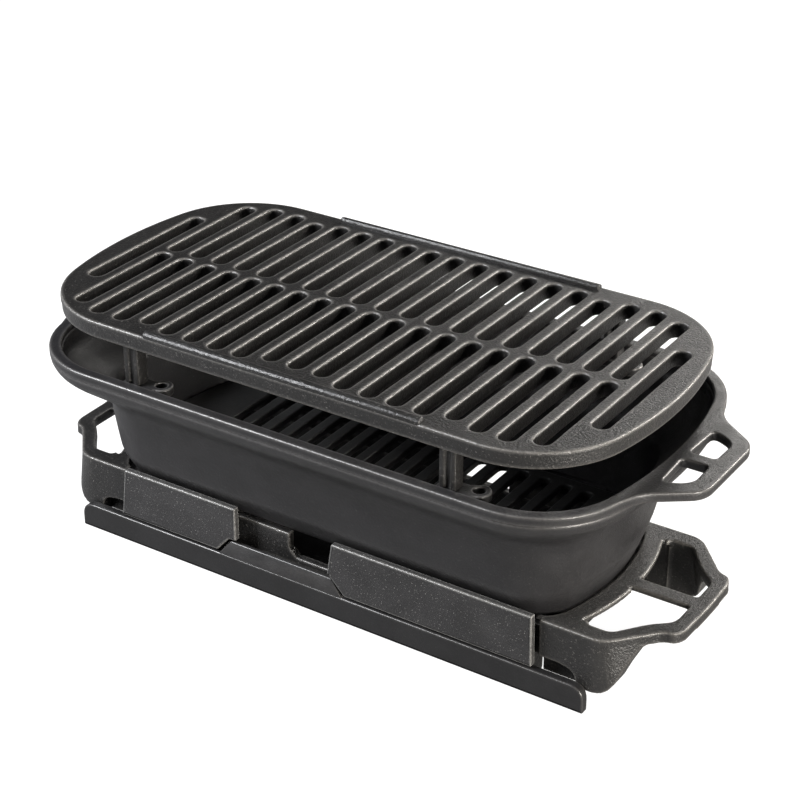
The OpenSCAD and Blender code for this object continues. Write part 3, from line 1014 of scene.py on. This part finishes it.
def ash_tray():
    lo, hi = box("ash_tray")
    half = hi[0]
    back = lo[1] + PANEL_THICK
    corners = [(half, PANEL_BOTTOM, 1), (half, PANEL_TOP, 11)]
    corners += [(-half, PANEL_TOP, 11), (-half, PANEL_BOTTOM, 1)]
    panel = plate("tray_panel", path(corners), [], 0, PANEL_THICK, top=1.0, bottom=0.9, shelf=0.8)
    for p in (stand_up(panel, back), tray_tab(back), tray_pan(back - 0.5, hi[1])):
        piece(p, "ash_tray", TRAY_IRON)


# ---- stage, lights and camera, in metres ----

FLOOR_HALF = 12.0
FLOOR_COLOUR = (0.20, 0.20, 0.20, 1)
SKY_COLOUR = (0.95, 0.96, 1.0, 1)
# how bright floor and sky are to the camera, and to the light that bounces between the castings
FLOOR_GLOW = (0.90, 0.04)
SKY_GLOW = (1.0, 0.06)

LIGHTS_AIM = (0, 0, 0.1)
# name, direction from the grill, distance, size, power, colour
LIGHTS = (
    ("key_front_left", (-0.60, -0.55, 0.58), 1.45, (0.55, 0.5), 50.0, (0.96, 0.97, 1.0)),
    ("rim_right_rear", (0.60, 0.67, 0.43), 1.6, (0.6, 0.5), 44.0, (1.0, 0.96, 0.9)),
    ("right", (0.93, -0.30, 0.14), 1.6, (0.6, 0.4), 46.0, (1.0, 0.95, 0.88)),
    ("rear", (-0.10, 0.84, 0.53), 1.57, (0.4, 0.35), 6.2, (1.0, 0.97, 0.93)),
)

# the camera as fitted to the photo, from the middle of the cooking grate on the ground
CAMERA_PLACE = (0.6655, -0.9892, 0.7742)
CAMERA_AZIMUTH = math.radians(33.214)
CAMERA_ELEVATION = math.radians(28.342)
CAMERA_ROLL = math.radians(0.065)
CAMERA_LENS_MM = 88.2
CAMERA_SENSOR_MM = 36.0


def area_light(name, direction, distance, size, power, colour):
    light = bpy.data.lights.new(name, "AREA")
    light.shape = "RECTANGLE"
    light.size, light.size_y = size
    light.energy = power
    light.color = colour
    obj = bpy.data.objects.new(name, light)
    bpy.context.scene.collection.objects.link(obj)
    d = Vector(direction).normalized()
    obj.location = Vector(LIGHTS_AIM) + d * distance
    obj.rotation_mode = "QUATERNION"
    obj.rotation_quaternion = (-d).to_track_quat("-Z", "Y")


def glow(tree, seen, other):
    """A value that is one thing to the camera and another to all other light."""
    rays = tree.nodes.new("ShaderNodeLightPath")
    choice = tree.nodes.new("ShaderNodeMapRange")
    choice.inputs["To Min"].default_value = other
    choice.inputs["To Max"].default_value = seen
    tree.links.new(rays.outputs["Is Camera Ray"], choice.inputs["Value"])
    return choice.outputs["Result"]


def floor():
    s = FLOOR_HALF
    mesh = bpy.data.meshes.new("floor")
    mesh.from_pydata([(-s, -s, 0), (s, -s, 0), (s, s, 0), (-s, s, 0)], [], [(0, 1, 2, 3)])
    obj = bpy.data.objects.new("floor", mesh)
    bpy.context.scene.collection.objects.link(obj)
    mat = bpy.data.materials.new("pale_floor")
    mat.use_nodes = True
    tree = mat.node_tree
    bsdf = tree.nodes["Principled BSDF"]
    bsdf.inputs["Base Color"].default_value = FLOOR_COLOUR
    bsdf.inputs["Roughness"].default_value = 0.9
    bsdf.inputs["Specular IOR Level"].default_value = 0.0
    bsdf.inputs["Emission Color"].default_value = (1, 1, 1, 1)
    tree.links.new(glow(tree, *FLOOR_GLOW), bsdf.inputs["Emission Strength"])
    mesh.materials.append(mat)


def sky():
    world = bpy.data.worlds.new("studio")
    world.use_nodes = True
    tree = world.node_tree
    background = tree.nodes["Background"]
    background.inputs[0].default_value = SKY_COLOUR
    tree.links.new(glow(tree, *SKY_GLOW), background.inputs[1])
    bpy.context.scene.world = world


def camera():
    cam = bpy.data.cameras.new("camera")
    cam.lens = CAMERA_LENS_MM
    cam.sensor_width = CAMERA_SENSOR_MM
    cam.clip_start = 0.05
    cam.clip_end = 60
    obj = bpy.data.objects.new("camera", cam)
    bpy.context.scene.collection.objects.link(obj)
    level = math.cos(CAMERA_ELEVATION)
    x, y = math.sin(CAMERA_AZIMUTH) * level, -math.cos(CAMERA_AZIMUTH) * level
    backwards = Vector((x, y, math.sin(CAMERA_ELEVATION)))
    grate_y = sum(v[1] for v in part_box("cooking_grate")) / 2
    obj.location = Vector(CAMERA_PLACE) + Vector((0, grate_y, 0))
    obj.rotation_mode = "QUATERNION"
    turn = (-backwards).to_track_quat("-Z", "Y")
    obj.rotation_quaternion = turn @ Matrix.Rotation(CAMERA_ROLL, 3, "Z").to_quaternion()
    bpy.context.scene.camera = obj


cooking_grate()
fire_bowl()
coal_grate()
base()
doors()
ash_tray()

floor()
sky()
for settings in LIGHTS:
    area_light(*settings)
camera()
view = bpy.context.scene.view_settings
view.view_transform = "Standard"
view.look = "None"
